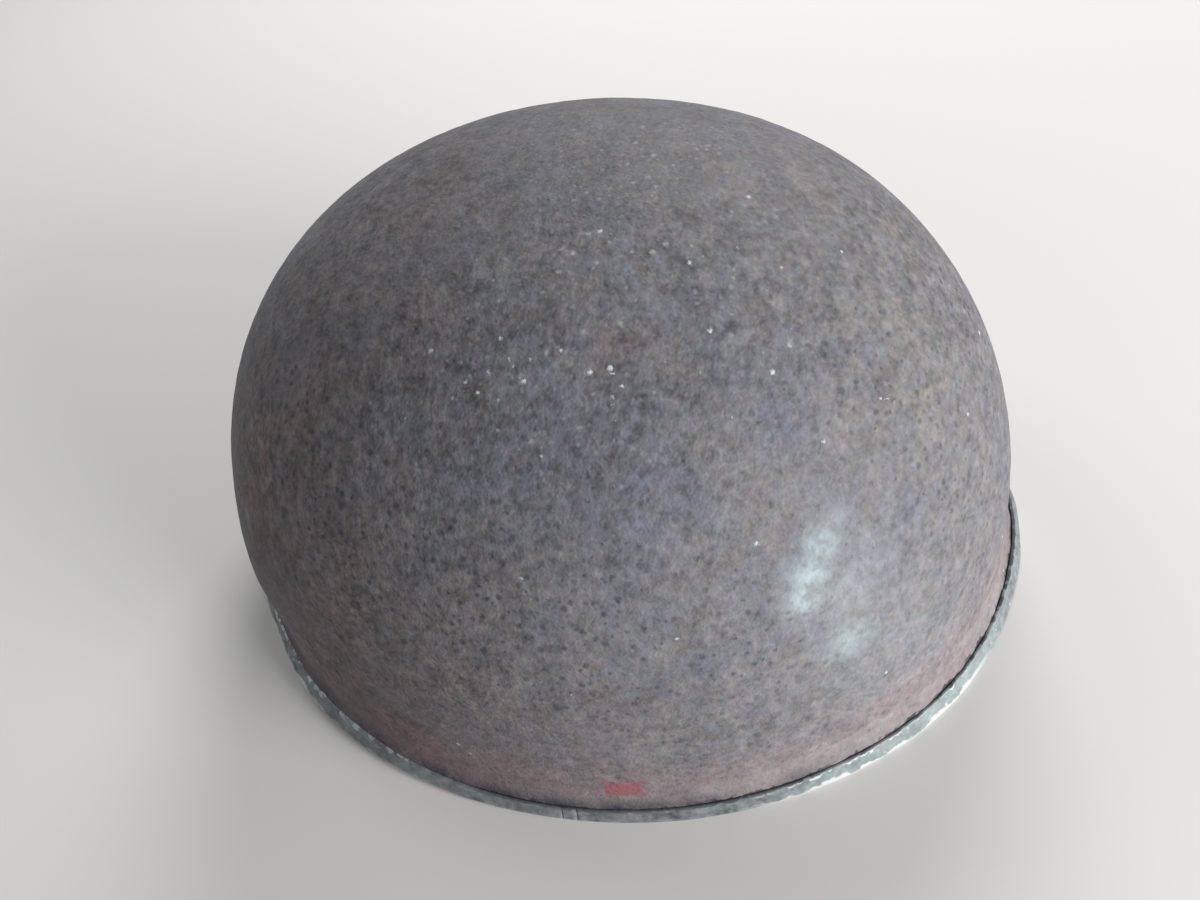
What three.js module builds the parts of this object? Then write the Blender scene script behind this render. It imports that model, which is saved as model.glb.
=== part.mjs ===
// Steel combat helmet: a pressed bowl, open below, with a folded steel strip round its rim.
// Millimetres, +Z up. The wearer faces -Y, and +X is the wearer's left.
// The origin is on the ground, under the middle of the overall width and length.

import * as THREE from "three";
import { LoftGeometry } from "three/addons/geometries/LoftGeometry.js";

const { clamp, lerp, radToDeg, smoothstep } = THREE.MathUtils;

// Bowl
const halfWidth = 122; // middle to side, at the belt
const frontLength = 141.7; // middle to brow, at the belt
const backLength = 137.4; // middle to nape, at the belt
const height = 160; // ground to crown
const beltHeight = 24; // the dome stands on the skirt here
const fullness = 2.21; // exponent of the dome's upright outline, 2 for an ellipse
const wall = 1.1; // thickness of the pressed steel

// Skirt and rim
const skirtSpread = 2.8; // how much further out the skirt is at the ground than at the belt
const flareHeight = 14; // the rim turns outwards below this height above the strip's underside
const flareReach = 4.4; // the most that it turns out
const flareBend = 1.6; // exponent of the turn, 1 for a straight cone
const browRise = 13.5; // the rim at the brow, above the ground
const browCornerAngle = 10; // degrees from the brow, where the raised rim ends
const restAngle = 84; // degrees from the brow, where the rim meets the ground

// Turn of the rim at some angles from the brow, as shares of flareReach
const flareShares = [
  { angle: 0, share: 0.64 },
  { angle: 45, share: 1 },
  { angle: 90, share: 0.07 },
  { angle: 180, share: 0.88 },
];

// Rim strip, folded round the edge of the bowl
const stripSteel = 0.7; // thickness of the strip
const stripOutside = 5.8; // height of its outer leg
const stripInside = 5.5; // height of its inner leg
const stripFold = 0.8; // width of the slope at each bottom fold
const stripGap = 0.3; // clearance between the strip and the bowl

// Fineness of the facets
const turnSteps = 80;
const flareRows = 4;
const domeRows = 13;

const paint = { color: 0x5a5650, roughness: 0.9, metalness: 0.1 };
const stripPaint = { color: 0x6f7a75, roughness: 0.65, metalness: 0.35 };

const turns = Array.from({ length: turnSteps }, (_, i) => (i / turnSteps) * 2 * Math.PI);

// Degrees from the brow, the same on both sides: 0 at the brow, 180 at the nape
function angleFromBrow(turn) {
  return radToDeg(Math.acos(clamp(Math.cos(turn), -1, 1)));
}

function rimLift(turn) {
  return browRise * (1 - smoothstep(angleFromBrow(turn), browCornerAngle, restAngle));
}

function rimFlare(turn) {
  const angle = angleFromBrow(turn);
  const next = Math.max(1, flareShares.findIndex((row) => row.angle >= angle));
  const from = flareShares[next - 1];
  const to = flareShares[next];
  return flareReach * lerp(from.share, to.share, smoothstep(angle, from.angle, to.angle));
}

// How far the bowl is pushed out from its belt line at a height, and the slope of that push
function skirtPush(turn, z) {
  const low = clamp((beltHeight - z) / beltHeight, 0, 1);
  const bent = clamp(1 - (z - rimLift(turn)) / flareHeight, 0, 1);
  const flare = rimFlare(turn);
  const push = skirtSpread * low ** 2 + flare * bent ** flareBend;
  const spreadSlope = (2 * skirtSpread * low) / beltHeight;
  const flareSlope = (flare * flareBend * bent ** (flareBend - 1)) / flareHeight;
  return { push, slope: spreadSlope + flareSlope };
}

// The point at a height that lies this deep under the bowl's outer skin, or outside it if negative
function skinPoint(turn, z, depth) {
  const length = (Math.cos(turn) > 0 ? frontLength : backLength) - depth;
  const width = halfWidth - depth;
  const climb = clamp((z - beltHeight) / (height - depth - beltHeight), 0, 1);
  const share = (1 - climb ** fullness) ** (1 / fullness);
  const outwards = new THREE.Vector2(Math.sin(turn) / width, -Math.cos(turn) / length).normalize();
  const { push, slope } = skirtPush(turn, z);
  const slant = Math.hypot(1, slope) - 1;
  const out = push - depth * slant;
  return new THREE.Vector3(
    width * share * Math.sin(turn) + out * outwards.x,
    -length * share * Math.cos(turn) + out * outwards.y,
    z,
  );
}

// Heights of the bowl's rows on one skin, from its edge to the crown
function skinHeights(turn, depth) {
  const edge = rimLift(turn) + stripSteel + stripGap;
  const flareTop = rimLift(turn) + flareHeight;
  const crown = height - depth;
  const heights = [];
  for (let i = 0; i < flareRows; i++) {
    heights.push(lerp(edge, flareTop, i / flareRows));
  }
  for (let i = 0; i <= domeRows; i++) {
    const climb = Math.sin((i / domeRows) * (Math.PI / 2)) ** (2 / fullness);
    heights.push(lerp(flareTop, crown, climb));
  }
  return heights;
}

// Rings of one skin of the bowl, from its edge to the crown
function skinRings(depth) {
  const columns = turns.map((turn) =>
    skinHeights(turn, depth).map((z) => skinPoint(turn, z, depth)),
  );
  return columns[0].map((_, row) => columns.map((column) => column[row]));
}

function makeShell() {
  const outer = skinRings(0);
  const inner = skinRings(wall);
  return new LoftGeometry([...inner.reverse(), ...outer]);
}

// Outline of the strip in an upright cut: height above its underside and depth under the bowl's skin
function stripOutline() {
  const outerGap = -stripGap;
  const outerFace = outerGap - stripSteel;
  const innerGap = wall + stripGap;
  const innerFace = innerGap + stripSteel;
  return [
    { up: stripOutside, depth: outerFace },
    { up: stripOutside / 2, depth: outerFace },
    { up: stripFold, depth: outerFace },
    { up: 0, depth: outerFace + stripFold },
    { up: 0, depth: innerFace - stripFold },
    { up: stripFold, depth: innerFace },
    { up: stripInside / 2, depth: innerFace },
    { up: stripInside, depth: innerFace },
    { up: stripInside, depth: innerGap },
    { up: stripInside / 2, depth: innerGap },
    { up: stripSteel, depth: innerGap },
    { up: stripSteel, depth: outerGap },
    { up: stripOutside / 2, depth: outerGap },
    { up: stripOutside, depth: outerGap },
  ];
}

function makeStrip() {
  const outline = stripOutline();
  const sections = turns.map((turn) =>
    outline.map(({ up, depth }) => skinPoint(turn, rimLift(turn) + up, depth)),
  );
  return new LoftGeometry([...sections, sections[0]]);
}

function makePiece(name, geometry, finish) {
  const piece = new THREE.Mesh(geometry, new THREE.MeshStandardMaterial(finish));
  piece.name = name;
  return piece;
}

const helmet = new THREE.Group();
helmet.add(makePiece("shell", makeShell(), paint));
helmet.add(makePiece("rim_band", makeStrip(), stripPaint));

// The front and back differ, so the pieces move along Y until the overall length is centred
const middle = new THREE.Box3().setFromObject(helmet).getCenter(new THREE.Vector3());
for (const piece of helmet.children) {
  piece.position.y = -middle.y;
}

export default helmet;
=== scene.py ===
# Steel combat helmet: a weathered, sand-painted bowl with a folded strip round its rim
import math
import random

import bmesh
import bpy
import numpy as np
from mathutils import Euler, Matrix, Vector, noise
from mathutils.bvhtree import BVHTree


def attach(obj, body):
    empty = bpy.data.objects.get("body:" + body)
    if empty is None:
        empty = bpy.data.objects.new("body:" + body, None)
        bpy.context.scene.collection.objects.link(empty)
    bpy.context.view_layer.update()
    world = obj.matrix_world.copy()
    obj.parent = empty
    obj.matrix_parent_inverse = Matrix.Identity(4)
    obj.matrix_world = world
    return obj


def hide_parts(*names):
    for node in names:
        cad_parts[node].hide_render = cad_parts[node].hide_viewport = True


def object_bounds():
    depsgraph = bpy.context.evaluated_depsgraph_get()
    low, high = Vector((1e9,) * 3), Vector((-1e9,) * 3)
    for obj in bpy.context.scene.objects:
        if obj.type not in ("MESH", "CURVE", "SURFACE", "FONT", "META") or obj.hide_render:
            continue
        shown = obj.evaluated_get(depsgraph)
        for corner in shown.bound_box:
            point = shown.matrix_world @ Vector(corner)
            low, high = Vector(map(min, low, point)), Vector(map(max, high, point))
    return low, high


mm = 0.001

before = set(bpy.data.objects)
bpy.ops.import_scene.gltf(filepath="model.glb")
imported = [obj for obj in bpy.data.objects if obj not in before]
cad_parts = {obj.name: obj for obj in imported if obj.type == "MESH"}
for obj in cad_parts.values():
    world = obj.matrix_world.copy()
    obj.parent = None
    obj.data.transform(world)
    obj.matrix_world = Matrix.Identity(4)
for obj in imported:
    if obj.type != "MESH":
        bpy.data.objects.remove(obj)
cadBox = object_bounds()

# Where the photo was taken from: above the left rear quarter, with the camera held askew
photoView = {
    "turn": 110.12,  # degrees about Z, 0 looks along +Y
    "lift": 46.86,  # degrees above the ground
    "roll": -12.61,
    "away": 362.1 * mm,
    "aim": Vector((16.8, -0.1, 55.4)) * mm,
    "lens": 31.2,  # millimetres, on a sensor 36 mm wide
    "sensor": 36,
    "width": 1200,  # pixels of the photo
    "height": 900,
}


def placeCamera(view):
    data = bpy.data.cameras.new("photoCamera")
    data.sensor_fit = "HORIZONTAL"
    data.sensor_width = view["sensor"]
    data.lens = view["lens"]
    data.clip_start = 10 * mm
    camera = bpy.data.objects.new("photoCamera", data)
    bpy.context.collection.objects.link(camera)
    tilt = math.radians(90 - view["lift"])
    facing = Euler((tilt, 0, math.radians(view["turn"]))).to_matrix()
    facing = facing @ Matrix.Rotation(math.radians(view["roll"]), 3, "Z")
    eye = view["aim"] + facing @ Vector((0, 0, view["away"]))
    camera.matrix_world = Matrix.Translation(eye) @ facing.to_4x4()
    bpy.context.scene.camera = camera
    return camera


# Direction of a photo pixel
def lookThrough(camera, view, pixel):
    focal = view["lens"] / view["sensor"] * view["width"]
    across = (pixel[0] - view["width"] / 2) / focal
    down = (pixel[1] - view["height"] / 2) / focal
    return camera.matrix_world.to_3x3() @ Vector((across, -down, -1)).normalized()


camera = placeCamera(photoView)
cadTrees = [
    BVHTree.FromObject(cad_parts[name], bpy.context.evaluated_depsgraph_get())
    for name in ("shell", "rim_band")
]


# The point of the helmet that a photo pixel shows
def place(pixel):
    eye = camera.matrix_world.translation
    hits = [tree.ray_cast(eye, lookThrough(camera, photoView, pixel)) for tree in cadTrees]
    return min((hit for hit in hits if hit[0]), key=lambda hit: hit[3])[0]


print("camera placed")

# Rim line: how high the underside of the strip stands above the ground, all round
merging = {
    "reach": 0.001 * mm,
    "flatAngle": math.radians(40),
    "squareAngle": math.radians(60),
    "facingDown": -0.9,  # the underside of the strip faces down more than this
}


def mergedCopy(name):
    form = bmesh.new()
    form.from_mesh(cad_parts[name].data)
    bmesh.ops.remove_doubles(form, verts=form.verts, dist=merging["reach"])
    bmesh.ops.join_triangles(
        form,
        faces=form.faces,
        angle_face_threshold=merging["flatAngle"],
        angle_shape_threshold=merging["squareAngle"],
    )
    return form


def rimLine():
    strip = mergedCopy("rim_band")
    strip.normal_update()
    downwards = [face for face in strip.faces if face.normal.z < merging["facingDown"]]
    underside = {vert for face in downwards for vert in face.verts}
    line = sorted((math.atan2(vert.co.y, vert.co.x), vert.co.z) for vert in underside)
    strip.free()
    return np.array(line).T


rimArounds, rimLifts = rimLine()


# Height of each point above the underside of the strip, straight below it
def aboveRim(points):
    arounds = np.arctan2(points[:, 1], points[:, 0])
    return points[:, 2] - np.interp(arounds, rimArounds, rimLifts, period=2 * math.pi)


# Meshes
def meshObject(name, form):
    data = bpy.data.meshes.new(name)
    form.to_mesh(data)
    form.free()
    piece = bpy.data.objects.new(name, data)
    bpy.context.collection.objects.link(piece)
    return piece


def smoothed(form, levels):
    draft = meshObject("draft", form)
    rounding = draft.modifiers.new("rounding", "SUBSURF")
    rounding.levels = rounding.render_levels = levels
    bpy.context.view_layer.update()
    seen = draft.evaluated_get(bpy.context.evaluated_depsgraph_get())
    finished = bmesh.new()
    finished.from_mesh(seen.to_mesh())
    seen.to_mesh_clear()
    bpy.data.meshes.remove(draft.data)
    return finished


def pointsOf(piece):
    points = np.empty(len(piece.data.vertices) * 3)
    piece.data.vertices.foreach_get("co", points)
    return points.reshape(-1, 3)


def addMask(piece, name, values):
    mask = piece.data.attributes.new(name, "FLOAT", "POINT")
    mask.data.foreach_set("value", np.asarray(values, dtype=np.float32))


# Vectors from one place, that stay exact between the vertices of a face
def addOffset(piece, name, offsets):
    mask = piece.data.attributes.new(name, "FLOAT_VECTOR", "POINT")
    mask.data.foreach_set("vector", np.asarray(offsets, dtype=np.float32).ravel())


# Bowl
bowlForm = {
    "outerLevels": 3,
    "innerLevels": 1,
    "heart": Vector((0, 0, 20)) * mm,  # the skins face away from or towards this point
    "facing": 0.4,  # how squarely a face of a skin faces it
    "waves": [  # size and height of the unevenness of the pressed steel and its paint
        {"size": 60 * mm, "height": 0.25 * mm},
        {"size": 17 * mm, "height": 0.12 * mm},
        {"size": 4.5 * mm, "height": 0.10 * mm},
    ],
    "paintCoat": -0.1 * mm,
    # old paint on a tight seam: heights above the rim line and its thickness, in millimetres
    "fillet": {"from": 5.2, "full": 5.9, "fade": 2.2, "push": 0.85},
}
# Where the real pressing stands in or out: photo pixel, reach and push in millimetres
bulges = [
    {"at": (259, 560), "reach": 24, "push": 1.9},
    {"at": (830, 165), "reach": 28, "push": 0.5},
    {"at": (600, 110), "reach": 40, "push": -1.3},
    {"at": (252, 350), "reach": 32, "push": -0.7},
    {"at": (940, 690), "reach": 36, "push": 0.6},
    {"at": (1008, 515), "reach": 20, "push": 0.9},
    {"at": (269, 588), "reach": 14, "push": 0.5},
    {"at": (284, 628), "reach": 15, "push": -0.75},
    {"at": (316, 677), "reach": 20, "push": 0.25},
]
for bulge in bulges:
    bulge["spot"] = place(bulge["at"])


# Where the strip lies tight on the bowl, and where dirt with painted shade hides its top edge
seamMarks = {
    "tight": [
        (284, 638, 20, 1), (310, 672, 20, 1), (350, 715, 20, 1), (400, 758, 18, 0.9), (450, 784, 14, 0.6),
        (500, 803, 18, 0.4), (560, 812, 18, 0.35), (620, 816, 18, 0.35), (690, 812, 16, 0.25),
        (760, 795, 16, 0.2), (835, 765, 9, 0.35), (880, 735, 9, 0.3), (925, 695, 8, 0.35),
        (960, 655, 8, 0.3), (985, 615, 8, 0.35),
    ],
    "cloggedDirtAndShade": [
        (450, 784, 16, 0.3), (500, 803, 20, 0.5), (560, 812, 22, 0.55), (620, 816, 22, 0.5),
        (690, 812, 18, 0.35), (745, 800, 16, 0.2), (1010, 540, 12, 0.7),
    ],
}


def spotMask(points, marks):
    amount = np.zeros(len(points))
    for x, y, reach, strength in marks:
        gap = np.linalg.norm(points - np.array(place((x, y))), axis=1) / (reach * mm)
        amount = np.maximum(amount, strength * np.exp(-(gap**2)))
    return amount


# Push the surface in and out a little, and keep it inside the overall size
def roughen(form, waves, coat):
    form.normal_update()
    low, high = cadBox
    for vert in form.verts:
        raised = coat
        for wave in waves:
            raised += noise.noise(vert.co / wave["size"]) * wave["height"]
        away = (vert.co - bowlForm["heart"]).normalized()
        pushed = 0
        for bulge in bulges:
            gap = (vert.co - bulge["spot"]).length / (bulge["reach"] * mm)
            pushed += bulge["push"] * mm * math.exp(-(gap**2))
        vert.co += vert.normal * raised + away * pushed
        vert.co = Vector(max(low[i], min(high[i], vert.co[i])) for i in range(3))


# One skin of the bowl: side 1 is the painted outside, -1 the inside
def skin(side):
    form = mergedCopy("shell")
    form.normal_update()
    others = []
    for face in form.faces:
        away = (face.calc_center_median() - bowlForm["heart"]).normalized()
        if face.normal.dot(away) * side < bowlForm["facing"]:
            others.append(face)
    bmesh.ops.delete(form, geom=others, context="FACES")
    levels = bowlForm["outerLevels"] if side > 0 else bowlForm["innerLevels"]
    return smoothed(form, levels)


def fillSeam(form):
    fillet = bowlForm["fillet"]
    points = np.array([vert.co for vert in form.verts])
    rises = aboveRim(points) / mm
    amounts = np.clip((rises - fillet["from"]) / (fillet["full"] - fillet["from"]), 0, 1)
    amounts *= np.exp(-((np.maximum(rises - fillet["full"], 0) / fillet["fade"]) ** 2))
    amounts *= spotMask(points, seamMarks["tight"]) * fillet["push"] * mm
    for vert, amount in zip(form.verts, amounts):
        vert.co += Vector((vert.normal.x, vert.normal.y, 0)).normalized() * amount


def makeBowl():
    outside = skin(1)
    inside = skin(-1)
    roughen(outside, bowlForm["waves"], bowlForm["paintCoat"])
    fillSeam(outside)
    roughen(inside, bowlForm["waves"][:2], 0)
    for face in inside.faces:
        face.material_index = 1
    spare = bpy.data.meshes.new("spare")
    inside.to_mesh(spare)
    inside.free()
    outside.from_mesh(spare)
    bpy.data.meshes.remove(spare)
    rims = [edge for edge in outside.edges if edge.is_boundary]
    bmesh.ops.bridge_loops(outside, edges=rims)
    for face in outside.faces:
        face.smooth = True
    for edge in outside.edges:
        if len({face.material_index for face in edge.link_faces}) > 1:
            edge.smooth = False
    return meshObject("helmetBowl", outside)


bowl = makeBowl()
print("bowl shaped:", len(bowl.data.polygons), "faces")

# Marks on the bowl: photo pixel, reach in millimetres and strength
bowlMarks = {
    "bluish": [
        (560, 440, 30, 0.75), (640, 500, 18, 1), (680, 500, 10, 1), (521, 346, 7, 1),
        (470, 300, 14, 0.6), (740, 370, 13, 0.6), (785, 425, 12, 0.9), (504, 480, 16, 0.9),
        (570, 200, 18, 0.45), (830, 470, 9, 0.7), (914, 516, 9, 0.5), (662, 621, 7, 0.8),
        (703, 668, 7, 0.9), (750, 600, 14, 0.5), (640, 690, 6, 0.6), (870, 348, 4, 0.9),
        (600, 600, 18, 0.5), (650, 280, 16, 0.4), (880, 560, 10, 0.4),
    ],
    # brown paint and rust; on the left margin and lower left the brown also carries a painted pink
    # reflection
    "brown": [
        (260, 470, 26, 1), (290, 430, 30, 0.6), (330, 600, 30, 0.8), (420, 680, 26, 0.5),
        (400, 200, 26, 0.4), (620, 340, 5, 0.6), (420, 320, 16, 0.5), (340, 280, 18, 0.5),
        (325, 665, 22, 1), (400, 725, 16, 0.7),
    ],
    "ochre": [
        (700, 440, 5, 0.7), (850, 318, 6, 0.9), (925, 405, 11, 1), (900, 330, 13, 0.7),
        (900, 240, 14, 0.8), (825, 185, 14, 0.6), (985, 530, 8, 0.6), (850, 420, 12, 0.5),
        (780, 480, 8, 0.4),
    ],
    "rusty": [
        (607, 345, 3.5, 0.9), (645, 348, 3, 0.4), (600, 365, 2.5, 0.5),
    ],
    "pale": [
        (812, 575, 6, 1), (822, 545, 6, 0.8), (806, 600, 5.5, 1), (836, 522, 5, 0.4),
        (517, 350, 2, 0.3), (850, 640, 9, 0.6), (850, 590, 13, 0.35), (250, 515, 2.5, 0.5),
        (880, 650, 24, 0.15),
    ],
    "flecked": [
        (500, 370, 28, 1), (620, 250, 36, 0.9), (420, 420, 24, 0.8), (700, 300, 28, 0.6),
        (640, 150, 30, 0.8), (600, 430, 18, 0.6),
    ],
    "pitted": [
        (600, 650, 40, 0.75), (450, 600, 36, 1), (880, 380, 30, 0.8), (330, 520, 34, 1),
        (300, 400, 26, 0.8), (750, 650, 26, 0.8), (960, 300, 24, 0.8), (520, 520, 20, 0.5),
        (950, 480, 24, 0.8), (980, 560, 16, 0.6), (330, 670, 24, 0.9),
    ],
    # painted highlight: beige lightening low on the right where the flared edge faces the low lamp, and
    # pale specks beside the red patch
    "beigeTintAndHighlight": [
        (930, 650, 34, 1), (860, 720, 28, 1), (770, 765, 22, 0.8), (990, 600, 22, 0.9),
        (590, 790, 3, 0.8), (655, 793, 3, 0.6), (620, 765, 24, 0.5),
    ],
    # red paint remains beside the red patch, and a painted pink reflection on the lower left
    "rosyPaintAndReflection": [
        (566, 790, 2.4, 1), (420, 748, 22, 0.9), (350, 690, 20, 0.45), (495, 755, 18, 0.6),
        (300, 620, 20, 0.2), (262, 525, 12, 0.7), (600, 755, 16, 0.35),
    ],
    # painted light: these marks lighten the paint where the bowl would show more light, most of all low on
    # the right towards the rim
    "paintedLight": [
        (660, 650, 28, 1), (820, 620, 32, 1), (740, 560, 20, 0.7), (740, 640, 20, 0.6),
        (620, 750, 24, 0.9), (500, 745, 16, 0.8), (820, 230, 26, 0.7), (930, 640, 20, 0.5),
        (420, 460, 14, 0.5), (500, 530, 12, 0.4), (290, 380, 14, 1.2), (760, 762, 18, 0.8),
        (800, 165, 14, 0.9), (905, 685, 13, 1.4), (950, 625, 14, 1.3), (860, 705, 11, 1),
        (720, 787, 9, 1.4), (835, 737, 8, 0.9), (660, 782, 10, 1), (480, 750, 12, 1.3),
        (560, 782, 9, 1.1), (560, 420, 14, 0.7), (600, 285, 16, 0.6), (960, 430, 13, 0.6),
    ],
    # painted shade: these marks darken the paint on the dim left side and at the upper left
    "paintedShade": [
        (330, 660, 24, 1), (258, 540, 16, 1), (400, 725, 18, 0.6), (430, 185, 18, 0.9),
        (420, 550, 12, 0.4), (500, 180, 12, 0.4), (340, 600, 14, 0.5), (298, 610, 11, 1.6),
        (288, 565, 10, 1),
    ],
    # soot and painted shade: a dark band on the bowl just above the strip
    "seamSootAndShade": [
        (560, 803, 12, 1), (620, 807, 10, 1), (500, 794, 12, 1), (440, 772, 14, 0.9),
        (700, 803, 9, 0.9), (380, 738, 14, 0.8), (330, 695, 14, 0.7), (295, 650, 12, 0.7),
        (655, 806, 8, 0.9), (800, 780, 10, 0.5),
    ],
}
whiteFlecks = [  # photo pixels
    (749, 196), (738, 247), (842, 251), (630, 373), (773, 372), (965, 311), (980, 332), (541, 456),
    (521, 579), (465, 382), (422, 445), (612, 397), (848, 430), (681, 447), (757, 544), (732, 418),
    (824, 442), (1003, 537), (1003, 570), (1005, 515), (886, 673), (969, 414), (523, 381), (571, 696),
    (782, 266), (518, 349), (554, 388), (635, 375), (508, 358), (615, 420), (710, 330), (458, 745),
    (470, 754), (500, 338), (512, 366), (530, 358), (477, 392), (488, 372), (452, 398), (497, 400),
    (610, 368), (622, 386), (590, 372), (560, 350), (700, 372), (655, 392), (690, 262), (600, 230),
    (655, 215), (860, 365), (882, 398), (870, 320), (950, 285), (912, 450), (790, 345), (430, 350),
]
redPatchAt = (624, 789.5)  # photo pixel
fleckForm = {
    "radius": (0.5, 1.1),  # least and most, in millimetres
    "field": 2.7 * mm,  # each fleck is drawn within this distance of its middle
    "between": 1.8 * mm,  # and not where two of these fields meet
}
# Marks on the sides that the photo hides
hiddenMarks = {
    "seed": 7,
    "flecks": 40,
    "fleckLowest": 20 * mm,  # above the ground
    "searchFrom": 300 * mm,
    "patchSize": 34 * mm,
    "patchStrength": 2.2,
    "rarer": 1.1,  # taken off the marks in "rare"
    "rare": ("rusty", "pale"),
    "never": ("rosyPaintAndReflection", "seamSootAndShade", "tight", "cloggedDirtAndShade"),
    "edge": 0.4,  # strength where the surface is seen edge on
    "fade": 2,  # how fast they fade as it turns towards the camera
}


# How far each point is turned away from the camera, from 0 to 1
def hiddenShare(piece, points):
    normals = np.empty(len(points) * 3)
    piece.data.vertices.foreach_get("normal", normals)
    outlook = np.array(camera.matrix_world.translation) - points
    outlook /= np.linalg.norm(outlook, axis=1)[:, None]
    facing = (normals.reshape(-1, 3) * outlook).sum(axis=1)
    return np.clip(hiddenMarks["edge"] - facing * hiddenMarks["fade"], 0, 1)


# Patches of one kind of mark, scattered over the hidden sides
def scattered(points, name, turn):
    drift = Vector((turn, 2 * turn, 3 * turn))
    amount = np.array([noise.noise(Vector(p) / hiddenMarks["patchSize"] + drift) for p in points])
    amount *= hiddenMarks["patchStrength"]
    if name in hiddenMarks["rare"]:
        amount -= hiddenMarks["rarer"]
    return np.clip(amount, 0, 1) * (name not in hiddenMarks["never"])


# Middles of the white flecks: those of the photo, then random ones where it doesn't see
def fleckMiddles(chance):
    eye = camera.matrix_world.translation
    middles = [place(pixel) for pixel in whiteFlecks]
    while len(middles) < len(whiteFlecks) + hiddenMarks["flecks"]:
        way = Vector([chance.uniform(-1, 1) for _ in "xyz"]).normalized()
        start = bowlForm["heart"] + way * hiddenMarks["searchFrom"]
        hit, normal, _, _ = cadTrees[0].ray_cast(start, -way)
        if hit and hit.z > hiddenMarks["fleckLowest"] and normal.dot(eye - hit) < 0:
            middles.append(hit)
    return middles


# Store where the marks are, so that the paint can show them
def markBowl(piece):
    points = pointsOf(piece)
    addMask(piece, "aboveRim", aboveRim(points) / mm)
    hidden = hiddenShare(piece, points)
    for turn, (name, marks) in enumerate((bowlMarks | seamMarks).items()):
        addMask(piece, name, np.maximum(spotMask(points, marks), scattered(points, name, turn) * hidden))

    chance = random.Random(hiddenMarks["seed"])
    flecks = np.array(fleckMiddles(chance))
    sizes = np.array([chance.uniform(*fleckForm["radius"]) for _ in flecks])
    gaps = np.linalg.norm(points[:, None] - flecks[None], axis=2)
    nearest = np.argmin(gaps, axis=1)
    addOffset(piece, "fromFleck", (points - flecks[nearest]) / mm)
    first, second = np.sort(gaps, axis=1)[:, :2].T
    beside = (first < fleckForm["field"]) & (second - first > fleckForm["between"])
    addMask(piece, "fleckSize", np.where(beside, sizes[nearest], 0))

    middle = np.array(place(redPatchAt))
    along = np.array((-middle[1], middle[0], 0)) / np.hypot(middle[0], middle[1])
    inwards = np.cross(along, (0, 0, 1))
    apart = (points - middle) / mm
    sides = np.stack([apart @ along, apart[:, 2], apart @ inwards], axis=1)
    addOffset(piece, "fromRedPatch", sides)


markBowl(bowl)
print("bowl marked")

# Rim strip
stripForm = {
    "levels": 2,
    "edgeWear": 0.18 * mm,  # width of the worn edges
    "sharpAngle": math.radians(30),
    "waves": [
        {"size": 9 * mm, "height": 0.08 * mm},
        {"size": 3 * mm, "height": 0.06 * mm},
    ],
    "paintCoat": 0.15 * mm,
    "turnLeast": math.radians(0.3),  # an edge that spans more than this runs round the rim
    "jointSide": 100 * mm,  # the cuts lie beyond this, on +X
    "jointNearby": 8 * mm,
    "jointLine": 0.01 * mm,
    "jointFacing": 0.2,  # the outer leg faces +X at least this much
    "joints": [  # photo pixel of each cut across the strip, with its width and depth
        {"at": (562.5, 813), "width": 0.5 * mm, "depth": 0.5 * mm},
        {"at": (577, 814), "width": 0.35 * mm, "depth": 0.25 * mm},
    ],
}
stripMarks = {
    "greenish": [
        (960, 690, 40, 1), (880, 750, 36, 0.9), (780, 797, 28, 0.35), (1010, 560, 24, 0.35),
        (500, 807, 26, 0.3), (600, 822, 22, 0.15), (310, 680, 22, 0.45), (360, 735, 22, 0.45),
        (420, 775, 22, 0.45),
    ],
    "worn": [
        (930, 715, 28, 1), (850, 765, 24, 1), (790, 792, 12, 0.6), (278, 632, 10, 1), (303, 668, 12, 1),
        (330, 708, 10, 0.8), (360, 740, 8, 0.7), (400, 765, 10, 0.5),
    ],
    **seamMarks,
}


def runsAround(edge):
    first, second = (vert.co.xy for vert in edge.verts)
    return abs(first.angle_signed(second, 0)) > stripForm["turnLeast"]


def isCorner(edge):
    return runsAround(edge) and edge.calc_face_angle(0) > stripForm["sharpAngle"]


# Press a groove across the outer leg of the strip
def cutJoint(form, joint):
    middle = place(joint["at"]).y
    joint["y"] = middle
    for shift in (-0.5, 0, 0.5):
        centres = {face: face.calc_center_median() for face in form.faces}
        nearby = [face for face, at in centres.items() if onJoint(at, middle, stripForm["jointNearby"])]
        parts = {part for face in nearby for part in (face, *face.edges, *face.verts)}
        bmesh.ops.bisect_plane(
            form,
            geom=list(parts),
            plane_co=(0, middle + shift * joint["width"], 0),
            plane_no=(0, 1, 0),
        )
    form.normal_update()
    for vert in form.verts:
        outwards = vert.normal.x > stripForm["jointFacing"]
        if outwards and onJoint(vert.co, middle, stripForm["jointLine"]):
            vert.co.x -= joint["depth"]


def onJoint(point, middle, reach):
    return point.x > stripForm["jointSide"] and abs(point.y - middle) < reach


def makeStrip():
    form = mergedCopy("rim_band")
    form.normal_update()
    crease = form.edges.layers.float.new("crease_edge")
    for edge in form.edges:
        if isCorner(edge):
            edge[crease] = 1
    form = smoothed(form, stripForm["levels"])
    form.normal_update()
    bmesh.ops.bevel(
        form,
        geom=[edge for edge in form.edges if edge.is_convex and isCorner(edge)],
        offset=stripForm["edgeWear"],
        offset_type="OFFSET",
        segments=2,
        profile=0.5,
        affect="EDGES",
        material=-1,
        clamp_overlap=True,
    )
    roughen(form, stripForm["waves"], stripForm["paintCoat"])
    for joint in stripForm["joints"]:
        cutJoint(form, joint)
    for face in form.faces:
        face.smooth = True
    return meshObject("rimStrip", form)


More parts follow.
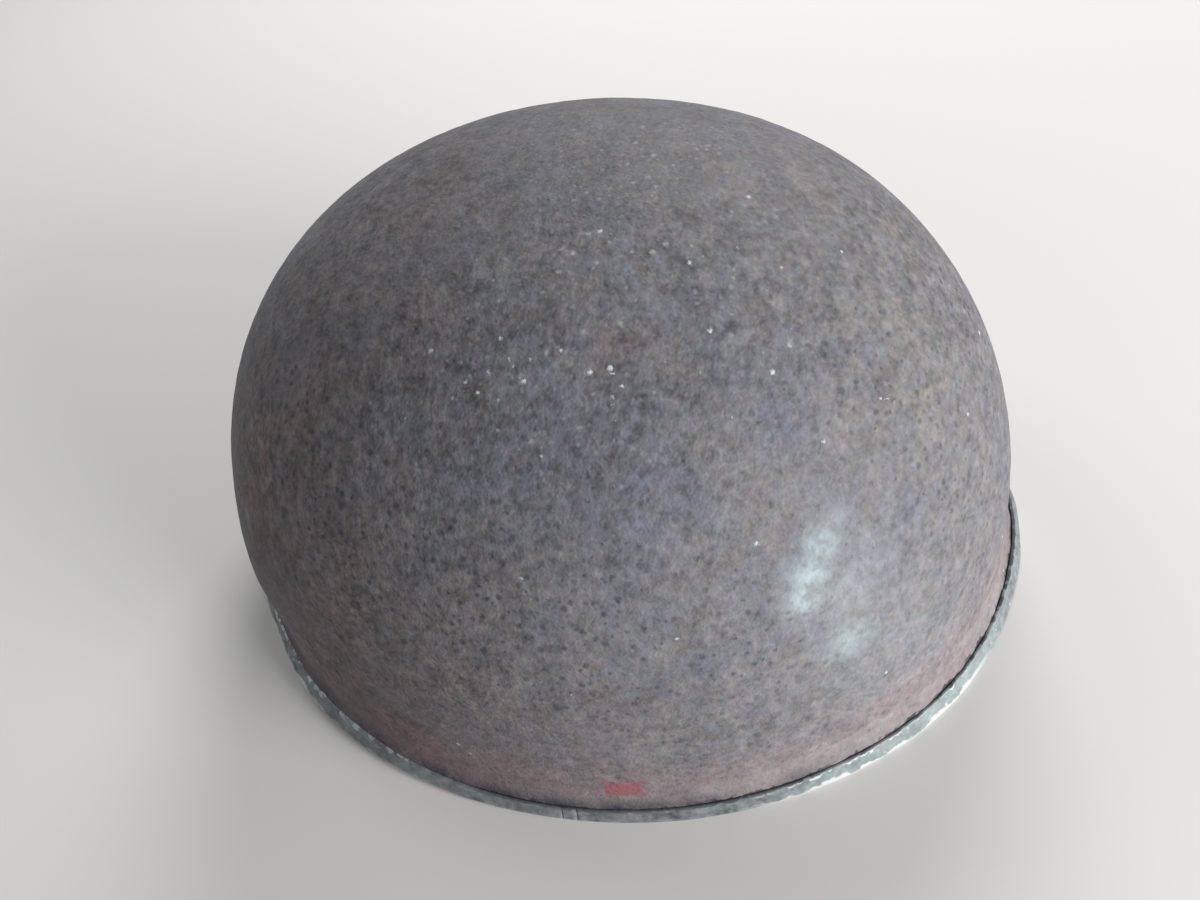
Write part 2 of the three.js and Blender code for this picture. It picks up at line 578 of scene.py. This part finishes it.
def markStrip(piece):
    points = pointsOf(piece)
    addMask(piece, "aboveRim", aboveRim(points) / mm)
    for name, marks in stripMarks.items():
        addMask(piece, name, spotMask(points, marks))
    groove = np.zeros(len(points))
    for joint in stripForm["joints"]:
        gap = np.abs(points[:, 1] - joint["y"]) / (joint["width"] / 2)
        groove = np.maximum(groove, np.clip(1 - gap, 0, 1) * (points[:, 0] > stripForm["jointSide"]))
    addMask(piece, "groove", groove)


strip = makeStrip()
markStrip(strip)
print("strip shaped:", len(strip.data.polygons), "faces")


# Material nodes
def connect(tree, socket, value):
    if isinstance(value, bpy.types.NodeSocket):
        tree.links.new(value, socket)
    else:
        socket.default_value = value


def addNode(tree, kind, inputs, **settings):
    made = tree.nodes.new("ShaderNode" + kind)
    for key, value in settings.items():
        setattr(made, key, value)
    for key, value in inputs.items():
        connect(tree, made.inputs[key], value)
    return made


def grain(tree, point, size, detail=2, roughness=0.5):
    return addNode(
        tree,
        "TexNoise",
        {"Vector": point, "Scale": 1 / size, "Detail": detail, "Roughness": roughness},
    ).outputs["Fac"]


def sums(tree, operation, first, second=0.0):
    return addNode(tree, "Math", {0: first, 1: second}, operation=operation).outputs[0]


def times(tree, *values):
    product = values[0]
    for value in values[1:]:
        product = sums(tree, "MULTIPLY", product, value)
    return product


def ramp(tree, value, low, high, bottom=0.0, top=1.0):
    return addNode(
        tree,
        "MapRange",
        {"Value": value, "From Min": low, "From Max": high, "To Min": bottom, "To Max": top},
        interpolation_type="SMOOTHSTEP",
    ).outputs["Result"]


def tint(tree, share, first, second, kind="MIX"):
    made = addNode(tree, "Mix", {}, data_type="RGBA", blend_type=kind)
    connect(tree, made.inputs["Factor"], share)
    for socket, value in ((made.inputs[6], first), (made.inputs[7], second)):
        connect(tree, socket, value if isinstance(value, bpy.types.NodeSocket) else (*value, 1))
    return made.outputs[2]


# A colour made lighter or darker by a brightness, 1 for no change
def shaded(tree, colour, brightness):
    whole = addNode(tree, "CombineColor", {name: brightness for name in ("Red", "Green", "Blue")})
    return tint(tree, 1.0, colour, whole.outputs[0], "MULTIPLY")


# A point shifted this way and that, to roughen the edges of a mark
def wobble(tree, point, size, amount):
    shift = addNode(tree, "TexNoise", {"Vector": point, "Scale": 1 / size, "Detail": 1.0})
    middle = (0.5, 0.5, 0.5)
    centred = addNode(tree, "VectorMath", {0: shift.outputs["Color"], 1: middle}, operation="SUBTRACT")
    scaled = addNode(tree, "VectorMath", {0: centred.outputs[0], "Scale": amount}, operation="SCALE")
    return scaled.outputs[0]


def moved(tree, point, shift):
    return addNode(tree, "VectorMath", {0: point, 1: shift}, operation="ADD").outputs[0]


# Soft round specks of different sizes, in this share of the cells of a scatter
def specks(tree, point, spacing, radius, share):
    scatter = addNode(tree, "TexVoronoi", {"Vector": point, "Scale": 1 / spacing})
    dice = addNode(tree, "SeparateColor", {0: scatter.outputs["Color"]}).outputs
    reach = ramp(tree, dice["Red"], 0.0, 1.0, radius * 0.6 / spacing, radius * 1.3 / spacing)
    here = ramp(tree, scatter.outputs["Distance"], reach, times(tree, reach, 0.2))
    return times(tree, here, ramp(tree, dice["Green"], share + 0.01, share - 0.01))


def newPaint(name):
    paint = bpy.data.materials.new(name)
    paint.use_nodes = True
    tree = paint.node_tree
    shader = tree.nodes["Principled BSDF"]
    point = addNode(tree, "TexCoord", {}).outputs["Object"]
    return paint, tree, shader, point


def maskOf(tree, name):
    return addNode(tree, "Attribute", {}, attribute_name=name).outputs["Fac"]


# One value outside the marks of a kind and another inside them
def byMask(tree, name, without, within, full=1.0):
    return ramp(tree, maskOf(tree, name), 0.0, full, without, within)


# Uneven patches: the size of their grain, two levels of it and the value at each
def patches(tree, point, size, low, high, bottom, top, detail=3):
    return ramp(tree, grain(tree, point, size, detail), low, high, bottom, top)


def offsetOf(tree, name):
    return addNode(tree, "Attribute", {}, attribute_name=name).outputs["Vector"]


def bump(tree, shader, height, depth):
    made = addNode(tree, "Bump", {"Height": height, "Distance": depth, "Strength": 1.0})
    tree.links.new(made.outputs["Normal"], shader.inputs["Normal"])


bowlPaint = {
    "colours": {
        "cool": (0.137, 0.137, 0.152),
        "warm": (0.151, 0.142, 0.146),
        "bluish": (0.119, 0.128, 0.163),
        "brown": (0.176, 0.144, 0.138),
        "ochre": (0.170, 0.156, 0.143),
        "reddish": (0.196, 0.154, 0.160),
        "beige": (0.260, 0.236, 0.234),
        "pale": (0.36, 0.43, 0.45),
        "rusty": (0.190, 0.152, 0.144),
        "pit": (0.048, 0.050, 0.066),
        "sand": (0.30, 0.295, 0.30),
        "fleck": (0.50, 0.50, 0.49),
        "white": (0.70, 0.73, 0.77),
        "red": (0.29, 0.095, 0.115),
        "dirtAndShade": (0.042, 0.041, 0.047),
        "sootAndShade": (0.055, 0.058, 0.072),
    },
    "grains": [  # size of each layer of light and dark, and how strong it is
        {"size": 0.9 * mm, "share": 0.60},
        {"size": 2.0 * mm, "share": 0.72},
        {"size": 4 * mm, "share": 0.85},
        {"size": 8 * mm, "share": 0.60},
        {"size": 30 * mm, "share": 0.2},
    ],
    "grainDetail": 0.8,
    "finest": 5 * mm,  # grains below this size are felt as well as seen
    "pits": {"spacing": 2.9 * mm, "radius": 1.2 * mm, "share": 0.7},
    "sand": {"spacing": 2.2 * mm, "radius": 0.85 * mm, "share": 0.6},
    "flecks": {"spacing": 3.0 * mm, "radius": 0.9 * mm, "share": 0.42},
    "shift": {"sand": (5, 4, 1), "flecks": (3, 1, 2)},  # so that the scatters don't coincide
    "rough": {"size": 1.6 * mm, "amount": 1.1 * mm},  # how ragged the edges of the specks are
    "hues": {"sizes": (4.5 * mm, 14 * mm), "low": 0.84, "high": 1.16},
    "tints": {"size": 3 * mm, "share": 0.12},
    "byMark": {  # strength outside and inside the marks
        "liveBrown": (0.93, 1.4),
        "liveFlecked": (1.0, 1.15),
        "livePaintedLight": (1.0, 0.83),
        "pits": (0.35, 0.85),
        "sand": (0.16, 0.46),
        "flecks": (0.08, 0.5),
    },
    # how much the painted light brightens the paint and the painted shade darkens it
    "paintedLight": 0.13,
    "paintedShade": 0.18,
    "brownLift": 14.0,  # brown areas are as coarse as if they stood this much higher, in millimetres
    "bands": {  # two heights above the rim line, in millimetres, and the strength at each
        "reddish": (38.0, 18.0, 0.0, 0.7),
        "beigeTintAndHighlight": (19.0, 14.0, 0.15, 0.85),
        "grains": (9.0, 26.0, 0.5, 1.0),
        "sand": (9.0, 26.0, 0.4, 1.0),
        "pits": (8.0, 18.0, 0.35, 1.0),
        "sootAndShade": (12.0, 6.6),
        "dirtAndShade": (6.6, 6.0),
    },
    "patches": {  # size of the grain, two levels of it and the value at each
        "uneven": (6 * mm, 0.3, 0.7, 0.3, 1.0),
        "ragged": (9 * mm, 0.2, 0.8, -5.0, 5.0),
        "blotchy": (3.5 * mm, 0.3, 0.62, 0.4, 1.0),
        "worn": (1.8 * mm, 0.3, 0.6, 0.5, 0.95),
        "sootAndShade": (2.0 * mm, 0.25, 0.55, 0.3, 1.0),
        "dirtAndShadeEdge": (3.5 * mm, 0.3, 0.7, -0.9, 0.9),
        "roughness": (4 * mm, 0.3, 0.7, 0.62, 0.82),
    },
    "rustShare": 0.8,
    "rosyPaintAndReflectionShare": 0.22,
    "redPatch": {
        "half": (6.9, 5.4),  # half its length and height, in millimetres
        "solid": (0.75, 0.5),  # the share of them that is full red
        "through": (9.0, 8.0),  # it ends this many millimetres into the bowl, and so stays on this side
        "torn": {"size": 2 * mm, "amount": 2.6},
    },
    "chips": {  # the white flecks
        "torn": {"size": 0.7 * mm, "amount": 1.1},
        "solid": 0.2,
        "bySize": (0.4, 1.1, 0.35, 0.85),  # two radii in millimetres and the strength at each
    },
    "tightFull": 0.9,
    "specular": 0.35,
    "relief": {"depth": 0.16 * mm, "chips": 0.6, "pits": 0.5},
}


# Where the worn red patch shows: a soft box on the outer skin
def redPatch(tree, point, rough):
    form = bowlPaint["redPatch"]
    torn = moved(tree, offsetOf(tree, "fromRedPatch"), wobble(tree, point, **form["torn"]))
    sides = addNode(tree, "SeparateXYZ", {0: torn}).outputs
    share = patches(tree, rough, *bowlPaint["patches"]["worn"], detail=2)
    for side, half, solid in zip("XY", form["half"], form["solid"]):
        share = times(tree, share, ramp(tree, sums(tree, "ABSOLUTE", sides[side]), half, half * solid))
    return times(tree, share, ramp(tree, sums(tree, "ABSOLUTE", sides["Z"]), *form["through"]))


def whiteChips(tree, point):
    form = bowlPaint["chips"]
    near = moved(tree, offsetOf(tree, "fromFleck"), wobble(tree, point, **form["torn"]))
    gap = addNode(tree, "VectorMath", {0: near}, operation="LENGTH").outputs["Value"]
    size = maskOf(tree, "fleckSize")
    return ramp(tree, gap, size, times(tree, size, form["solid"])), ramp(tree, size, *form["bySize"])


def makeBowlPaint():
    paint, tree, shader, point = newPaint("bowlPaint")
    shades = bowlPaint["colours"]
    bands = bowlPaint["bands"]
    shapes = bowlPaint["patches"]
    strengths = bowlPaint["byMark"]
    rise = maskOf(tree, "aboveRim")
    rough = moved(tree, point, wobble(tree, point, **bowlPaint["rough"]))

    # broad hues
    hues = bowlPaint["hues"]
    clouds = sums(tree, "ADD", *(grain(tree, point, size, 3) for size in hues["sizes"]))
    colour = tint(tree, ramp(tree, clouds, hues["low"], hues["high"]), shades["cool"], shades["warm"])
    uneven = patches(tree, point, *shapes["uneven"])
    for name in ("bluish", "brown", "ochre"):
        colour = tint(tree, times(tree, maskOf(tree, name), uneven), colour, shades[name])
    ragged = sums(tree, "ADD", rise, patches(tree, point, *shapes["ragged"]))
    colour = tint(tree, ramp(tree, ragged, *bands["reddish"]), colour, shades["reddish"])
    # painted highlight in beige along the flared edge, low on the right
    beigeTintAndHighlight = ramp(tree, ragged, *bands["beigeTintAndHighlight"])
    colour = tint(tree, times(tree, beigeTintAndHighlight, maskOf(tree, "beigeTintAndHighlight")), colour, shades["beige"])

    # painted light and painted shade from the marks, then light and dark grains
    brightness = sums(tree, "ADD", 1.0, times(tree, maskOf(tree, "paintedLight"), bowlPaint["paintedLight"]))
    paintedDarkness = times(tree, maskOf(tree, "paintedShade"), bowlPaint["paintedShade"])
    brightness = sums(tree, "SUBTRACT", brightness, paintedDarkness)
    coarse = sums(tree, "ADD", rise, times(tree, maskOf(tree, "brown"), bowlPaint["brownLift"]))
    lively = times(
        tree,
        byMask(tree, "brown", *strengths["liveBrown"]),
        byMask(tree, "flecked", *strengths["liveFlecked"]),
        byMask(tree, "paintedLight", *strengths["livePaintedLight"]),
        ramp(tree, coarse, *bands["grains"]),
    )
    heights = 0.0
    for layer in bowlPaint["grains"]:
        grains = sums(tree, "SUBTRACT", grain(tree, point, layer["size"], bowlPaint["grainDetail"]), 0.5)
        brightness = sums(tree, "ADD", times(tree, grains, layer["share"], lively), brightness)
        if layer["size"] < bowlPaint["finest"]:
            heights = sums(tree, "ADD", grains, heights)
    colour = shaded(tree, colour, brightness)
    tints = bowlPaint["tints"]
    scatter = addNode(tree, "TexNoise", {"Vector": point, "Scale": 1 / tints["size"], "Detail": 2.0})
    doubled = tint(tree, 1.0, scatter.outputs["Color"], (2.0, 2.0, 2.0), "MULTIPLY")
    colour = tint(tree, tints["share"], colour, doubled, "MULTIPLY")

    # sand, flecks and pits
    sand = specks(tree, moved(tree, rough, bowlPaint["shift"]["sand"]), **bowlPaint["sand"])
    sandShare = times(tree, byMask(tree, "flecked", *strengths["sand"]), ramp(tree, coarse, *bands["sand"]))
    colour = tint(tree, times(tree, sand, sandShare), colour, shades["sand"])
    flecks = specks(tree, moved(tree, rough, bowlPaint["shift"]["flecks"]), **bowlPaint["flecks"])
    fleckShare = byMask(tree, "flecked", *strengths["flecks"])
    colour = tint(tree, times(tree, flecks, fleckShare), colour, shades["fleck"])
    pits = specks(tree, rough, **bowlPaint["pits"])
    pitShare = times(tree, byMask(tree, "pitted", *strengths["pits"]), ramp(tree, coarse, *bands["pits"]))
    colour = tint(tree, times(tree, pits, pitShare), colour, shades["pit"])

    # stains
    blotchy = patches(tree, rough, *shapes["blotchy"])
    colour = tint(tree, times(tree, maskOf(tree, "pale"), blotchy), colour, shades["pale"])
    rust = times(tree, maskOf(tree, "rusty"), blotchy, bowlPaint["rustShare"])
    colour = tint(tree, rust, colour, shades["rusty"])

    # red paint, partly worn off, a painted pink reflection on the lower left, and white chips
    colour = tint(tree, redPatch(tree, point, rough), colour, shades["red"])
    colour = tint(tree, times(tree, maskOf(tree, "rosyPaintAndReflection"), bowlPaint["rosyPaintAndReflectionShare"]), colour, shades["red"])
    chips, chipShare = whiteChips(tree, point)
    colour = tint(tree, times(tree, chips, chipShare), colour, shades["white"])

    # dirt with painted shade in the seam against the strip, and soot with painted shade in a band above it
    sootAndShade = times(tree, ramp(tree, rise, *bands["sootAndShade"]), maskOf(tree, "seamSootAndShade"))
    sootAndShade = times(tree, sootAndShade, patches(tree, rough, *shapes["sootAndShade"], detail=2))
    colour = tint(tree, sootAndShade, colour, shades["sootAndShade"])
    # dirt and painted shade in the thin dark line where the bowl meets the top edge of the strip, left out
    # where the strip lies tight
    edge = sums(tree, "ADD", rise, patches(tree, point, *shapes["dirtAndShadeEdge"]))
    loose = byMask(tree, "tight", 1.0, 0.0, bowlPaint["tightFull"])
    colour = tint(tree, times(tree, ramp(tree, edge, *bands["dirtAndShade"]), loose), colour, shades["dirtAndShade"])

    connect(tree, shader.inputs["Base Color"], colour)
    roughness = patches(tree, point, *shapes["roughness"], detail=2)
    connect(tree, shader.inputs["Roughness"], roughness)
    shader.inputs["Specular IOR Level"].default_value = bowlPaint["specular"]
    relief = bowlPaint["relief"]
    heights = sums(tree, "ADD", heights, times(tree, chips, relief["chips"]))
    heights = sums(tree, "SUBTRACT", heights, times(tree, pits, relief["pits"]))
    bump(tree, shader, heights, relief["depth"])
    return paint


innerPaint = {
    "light": (0.17, 0.165, 0.165),
    "dark": (0.13, 0.125, 0.125),
    "clouds": (14 * mm, 0.3, 0.7, 0.0, 1.0),  # size of the grain, two levels of it and the share at each
    "roughness": 0.75,
    "grain": 1.5 * mm,
    "relief": 0.08 * mm,
}


def makeInnerPaint():
    paint, tree, shader, point = newPaint("innerPaint")
    clouds = patches(tree, point, *innerPaint["clouds"], detail=4)
    connect(tree, shader.inputs["Base Color"], tint(tree, clouds, innerPaint["dark"], innerPaint["light"]))
    shader.inputs["Roughness"].default_value = innerPaint["roughness"]
    bump(tree, shader, grain(tree, point, innerPaint["grain"]), innerPaint["relief"])
    return paint


stripPaint = {
    "colours": {
        "grey": (0.137, 0.145, 0.158),
        "green": (0.235, 0.285, 0.28),
        "dark": (0.045, 0.050, 0.060),
        "bare": (0.62, 0.65, 0.65),
    },
    "mottles": (2.2 * mm, 7 * mm),
    "pits": {"spacing": 2.6 * mm, "radius": 0.8 * mm, "share": 0.4},
    "glints": {"spacing": 2.4 * mm, "radius": 0.6 * mm, "share": 0.4},
    "glintShift": (2, 3, 1),
    "rough": {"size": 1.4 * mm, "amount": 0.8 * mm},
    "byMark": {  # strength outside and inside the marks
        "liveliness": (1.7, 0.8),
        "pits": (0.45, 0.25),
        "glints": (0.2, 0.55),
        "chips": (0.1, 1.0),
    },
    "chipShare": 0.9,
    "grooveShare": 0.85,
    "wornFull": 0.9,
    "tightFull": 0.8,
    "bands": {  # two heights above the rim line, in millimetres: where the mark starts and is full
        "lowEdge": (2.1, 1.3),
        "highEdge": (5.2, 5.7),
        "packedDirtAndShade": (5.3, 5.8),
    },
    "broad": {"size": 8 * mm, "roughness": 0.6},
    "torn": 3.2 * mm,
    "shifts": {  # two levels of a grain, and how far each shifts the height of a mark, in millimetres
        "lowEdge": (0.3, 0.7, 1.1, -0.9),
        "highEdge": (0.4, 0.65, -1.4, 0.9),
        "packedDirtAndShade": (0.3, 0.7, -0.8, 0.2),
    },
    "roughness": (0.3, 0.7, 0.42, 0.62),
    "relief": {"depth": 0.10 * mm, "chips": 0.4},
}


# How strongly a band shows along the strip, its edge moved up and down by a grain
def tornBand(tree, height, torn, name):
    shifted = sums(tree, "ADD", height, ramp(tree, torn, *stripPaint["shifts"][name]))
    return ramp(tree, shifted, *stripPaint["bands"][name])


def makeStripPaint():
    paint, tree, shader, point = newPaint("stripPaint")
    shades = stripPaint["colours"]
    strengths = stripPaint["byMark"]
    rise = maskOf(tree, "aboveRim")
    colour = tint(tree, maskOf(tree, "greenish"), shades["grey"], shades["green"])
    lively = byMask(tree, "greenish", *strengths["liveliness"])
    fine, broad = (sums(tree, "SUBTRACT", grain(tree, point, size), 0.5) for size in stripPaint["mottles"])
    brightness = sums(tree, "ADD", times(tree, fine, lively), 1.0)
    brightness = sums(tree, "ADD", times(tree, broad, lively), brightness)
    colour = shaded(tree, colour, brightness)
    rough = moved(tree, point, wobble(tree, point, **stripPaint["rough"]))
    pits = specks(tree, rough, **stripPaint["pits"])
    pitShare = byMask(tree, "greenish", *strengths["pits"])
    colour = tint(tree, times(tree, pits, pitShare), colour, shades["dark"])
    glints = specks(tree, moved(tree, rough, stripPaint["glintShift"]), **stripPaint["glints"])
    glintShare = byMask(tree, "greenish", *strengths["glints"])
    colour = tint(tree, times(tree, glints, glintShare), colour, shades["bare"])

    # bare metal along the lower edge and, in a few places, the upper one
    torn = grain(tree, rough, stripPaint["torn"])
    wide = grain(tree, rough, stripPaint["broad"]["size"], 3, stripPaint["broad"]["roughness"])
    lowEdge = tornBand(tree, rise, wide, "lowEdge")
    highEdge = tornBand(tree, rise, torn, "highEdge")
    chips = sums(tree, "MAXIMUM", lowEdge, highEdge)
    chips = times(tree, chips, byMask(tree, "worn", *strengths["chips"], stripPaint["wornFull"]))
    colour = tint(tree, times(tree, chips, stripPaint["chipShare"]), colour, shades["bare"])

    # dirt and painted shade along the top edge, where it meets the bowl, and the cuts
    cloggedDirtAndShade = sums(tree, "ADD", rise, maskOf(tree, "cloggedDirtAndShade"))
    packedDirtAndShade = tornBand(tree, cloggedDirtAndShade, torn, "packedDirtAndShade")
    packedDirtAndShade = times(tree, packedDirtAndShade, byMask(tree, "tight", 1.0, 0.0, stripPaint["tightFull"]))
    colour = tint(tree, packedDirtAndShade, colour, shades["dark"])
    groove = times(tree, maskOf(tree, "groove"), stripPaint["grooveShare"])
    colour = tint(tree, groove, colour, shades["dark"])

    connect(tree, shader.inputs["Base Color"], colour)
    connect(tree, shader.inputs["Roughness"], ramp(tree, torn, *stripPaint["roughness"]))
    relief = stripPaint["relief"]
    heights = sums(tree, "SUBTRACT", fine, times(tree, chips, relief["chips"]))
    bump(tree, shader, heights, relief["depth"])
    return paint


bowl.data.materials.append(makeBowlPaint())
bowl.data.materials.append(makeInnerPaint())
strip.data.materials.append(makeStripPaint())
print("paints mixed")

# Studio
studio = {
    "floorSize": 6,
    "floorColour": (0.75, 0.74, 0.72),
    "floorRoughness": 0.9,
    "sky": (0.96, 0.98, 1.0),
    "skyStrength": 0.2,
    "lamps": [  # turn about Z and height in degrees, as seen from the helmet
        {"name": "windowLamp", "turn": 66, "height": 12, "size": 0.8, "power": 25},
        {"name": "backLamp", "turn": 178, "height": 35, "size": 0.7, "power": 10.5},
        {"name": "browLamp", "turn": 240, "height": 45, "size": 0.7, "power": 3.2},
    ],
    "lampsAway": 1.3,
    "lampsAim": Vector((0, 0, 70)) * mm,
}


def makeStudio():
    form = bmesh.new()
    bmesh.ops.create_grid(form, x_segments=1, y_segments=1, size=studio["floorSize"] / 2)
    floor = meshObject("studioFloor", form)
    paint, tree, shader, point = newPaint("floorPaint")
    shader.inputs["Base Color"].default_value = (*studio["floorColour"], 1)
    shader.inputs["Roughness"].default_value = studio["floorRoughness"]
    floor.data.materials.append(paint)
    for lamp in studio["lamps"]:
        data = bpy.data.lights.new(lamp["name"], "AREA")
        data.shape = "DISK"
        data.size = lamp["size"]
        data.energy = lamp["power"]
        light = bpy.data.objects.new(lamp["name"], data)
        facing = Euler((0, math.radians(90 - lamp["height"]), math.radians(lamp["turn"]))).to_matrix()
        at = studio["lampsAim"] + facing @ Vector((0, 0, studio["lampsAway"]))
        light.matrix_world = Matrix.Translation(at) @ facing.to_4x4()
        bpy.context.collection.objects.link(light)
    world = bpy.data.worlds.new("studioSky")
    world.use_nodes = True
    sky = world.node_tree.nodes["Background"]
    sky.inputs["Color"].default_value = (*studio["sky"], 1)
    sky.inputs["Strength"].default_value = studio["skyStrength"]
    bpy.context.scene.world = world
    bpy.context.scene.view_settings.view_transform = "Standard"


makeStudio()
print("studio lit")

for piece, node, slot in ((bowl, "shell", "shell_paint"), (strip, "rim_band", "rim_paint")):
    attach(piece, "root")
    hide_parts(node)
